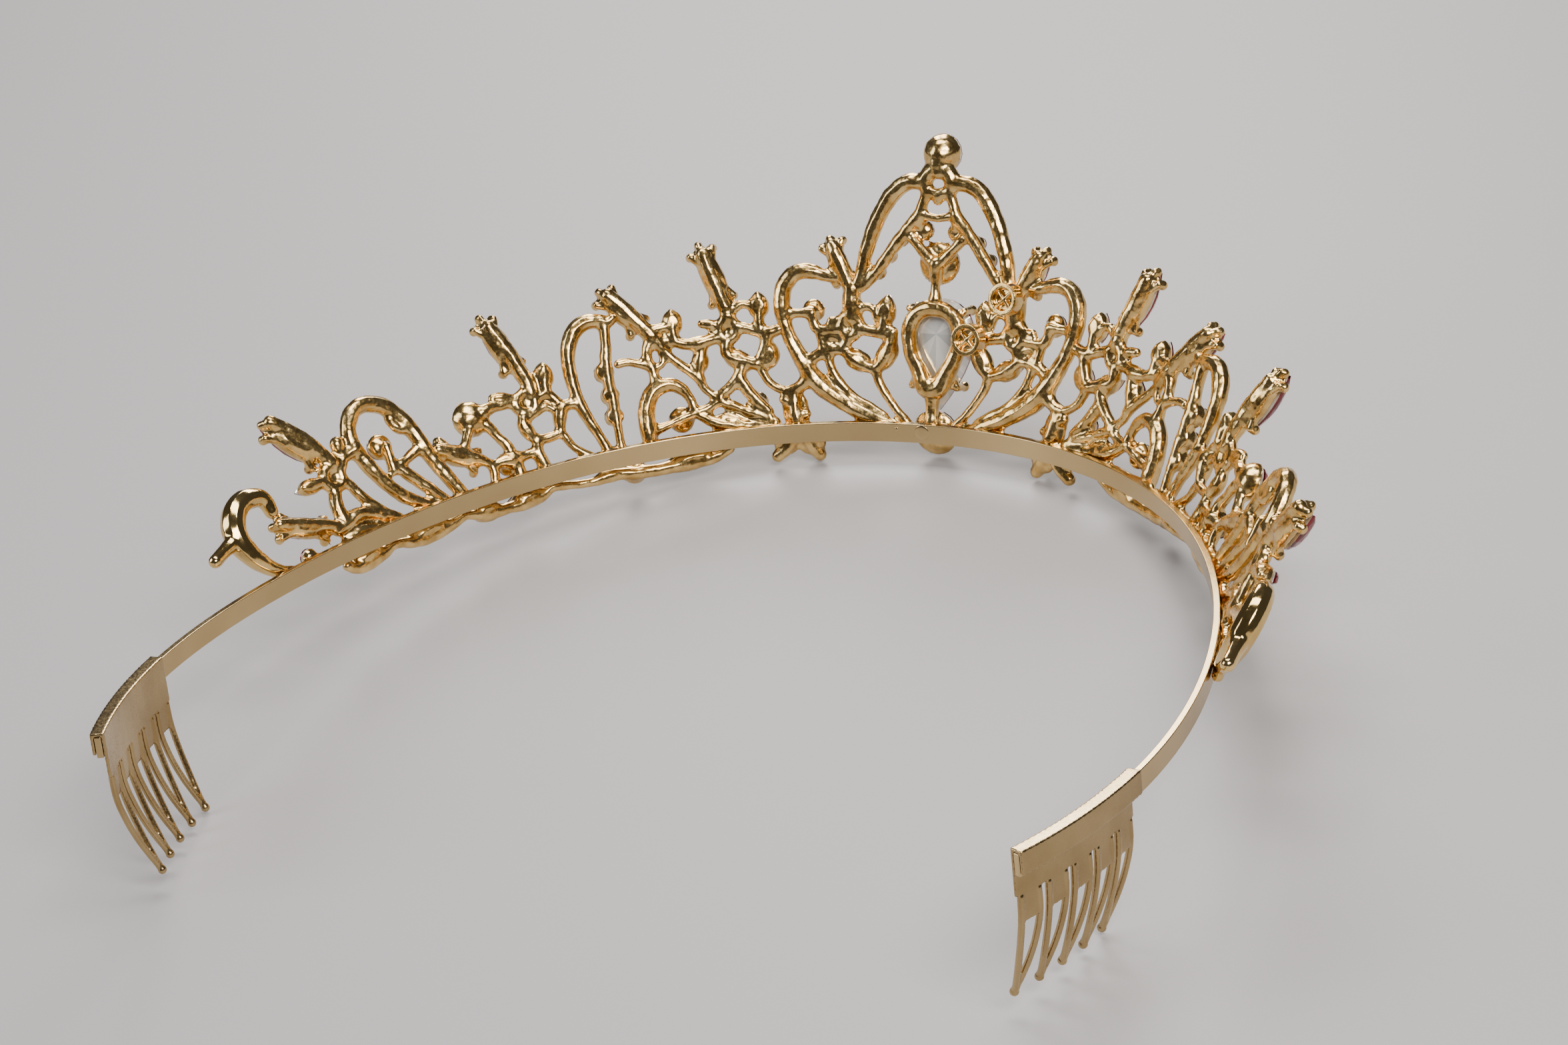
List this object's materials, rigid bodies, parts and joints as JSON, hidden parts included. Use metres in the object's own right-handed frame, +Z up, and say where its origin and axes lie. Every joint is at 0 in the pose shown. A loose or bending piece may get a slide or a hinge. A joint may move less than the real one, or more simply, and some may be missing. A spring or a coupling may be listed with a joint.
{
  "type": "tiara",
  "caption": "Gold-tone tiara: a sprung open headband carrying a pierced wall of scrollwork set with dark red stones, and a hair comb folded over each end.",
  "frame": {"origin": "middle of the bounding box at its lowest level, on the surface that the tiara stands on", "axes": "+Z up as it stands, the crest faces -Y, the open back faces +Y, and +X is to the left of someone who stands behind it and looks over it at the crest's back"},
  "size_m": [0.1702, 0.1554, 0.0481],
  "materials": {
    "cast_metal": "polished champagne gold plating over a lumpy casting",
    "strip_metal": "satin pale gold plating",
    "comb_metal": "bright pale gold plating on stamped sheet",
    "solder": "smooth solder, gold plated",
    "red_stone": "faceted dark red glass with a silver foil back"
  },
  "bodies": {
    "root": {"comb_left": "comb_metal", "comb_right": "comb_metal", "crest_beads": "red_stone", "crest_casting": "cast_metal", "crest_top_stone": "red_stone", "drop_stone": "red_stone", "end_scroll_end_stones_left": "red_stone", "end_scroll_end_stones_right": "red_stone", "end_scroll_left": "cast_metal", "end_scroll_right": "cast_metal", "headband_strip": "strip_metal", "heart_stone": "red_stone", "hook_panel_ball_stones_left": "red_stone", "hook_panel_ball_stones_right": "red_stone", "hook_panel_bead_stones_left": "red_stone", "hook_panel_bead_stones_right": "red_stone", "hook_panel_leaf_stones_left": "red_stone", "hook_panel_leaf_stones_right": "red_stone", "hook_panel_left": "cast_metal", "hook_panel_marquise_stones_left": "red_stone", "hook_panel_marquise_stones_right": "red_stone", "hook_panel_right": "cast_metal", "hook_panel_round_stones_left": "red_stone", "hook_panel_round_stones_right": "red_stone", "inner_scroll_leaf_stones_left": "red_stone", "inner_scroll_leaf_stones_right": "red_stone", "inner_scroll_left": "cast_metal", "inner_scroll_marquise_stones_left": "red_stone", "inner_scroll_marquise_stones_right": "red_stone", "inner_scroll_right": "cast_metal", "inner_scroll_round_stones_left": "red_stone", "inner_scroll_round_stones_right": "red_stone", "loop_panel_leaf_stones_left": "red_stone", "loop_panel_leaf_stones_right": "red_stone", "loop_panel_left": "cast_metal", "loop_panel_marquise_stones_left": "red_stone", "loop_panel_marquise_stones_right": "red_stone", "loop_panel_right": "cast_metal", "loop_panel_round_stones_left": "red_stone", "loop_panel_round_stones_right": "red_stone", "lower_border_leaf_stones_left": "red_stone", "lower_border_leaf_stones_right": "red_stone", "lower_border_left": "cast_metal", "lower_border_right": "cast_metal", "lower_border_round_stones_left": "red_stone", "lower_border_round_stones_right": "red_stone", "solder_spots": "solder", "teardrop_setting": "cast_metal", "teardrop_stone": "red_stone", "tube_rivets": "cast_metal", "vine_panel_leaf_stones_left": "red_stone", "vine_panel_leaf_stones_right": "red_stone", "vine_panel_left": "cast_metal", "vine_panel_marquise_stones_left": "red_stone", "vine_panel_marquise_stones_right": "red_stone", "vine_panel_right": "cast_metal", "vine_panel_round_stones_left": "red_stone", "vine_panel_round_stones_right": "red_stone"}
  },
  "joints": []
}
